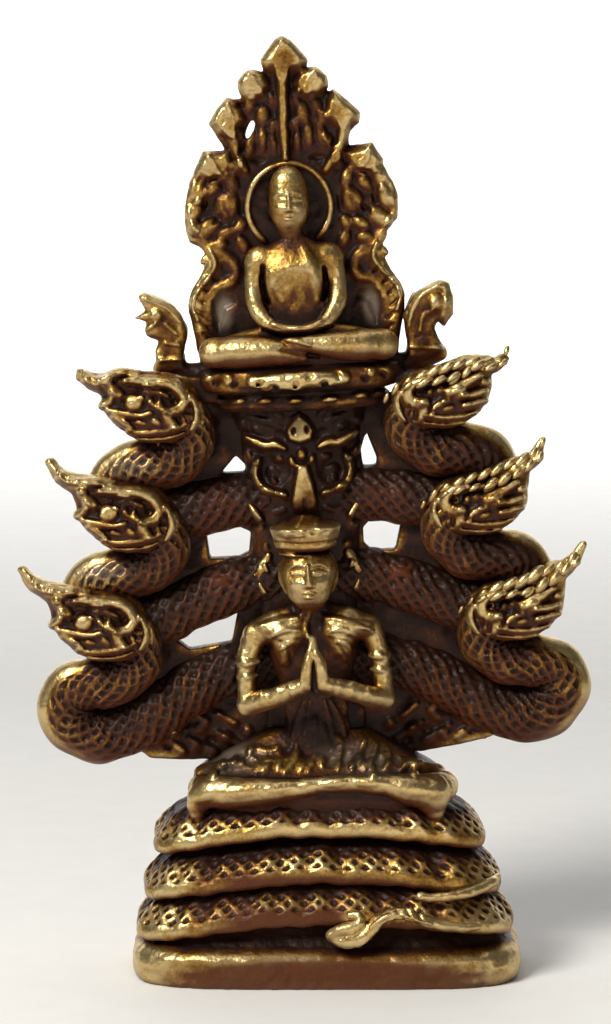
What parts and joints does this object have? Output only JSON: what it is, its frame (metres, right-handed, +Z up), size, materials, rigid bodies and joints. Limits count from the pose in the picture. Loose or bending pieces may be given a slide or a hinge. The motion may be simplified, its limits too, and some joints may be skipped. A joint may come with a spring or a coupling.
{
  "type": "brass buddha statuette",
  "caption": "Small cast brass statuette: a figure seated under a tree on a lotus seat, above a praying worshipper on a coiled serpent with a fan of serpent heads.",
  "frame": {"origin": "middle of the flat underside of the plinth", "axes": "+Z up along the height, -Y towards the front of the figures, +X to the viewer's right"},
  "size_m": [0.036, 0.0139, 0.0603],
  "materials": {
    "brass": "cast brass with a dark brown-black patina in the recesses, worn bright on the raised parts"
  },
  "bodies": {
    "root": {"brass_casting": "brass"}
  },
  "joints": []
}
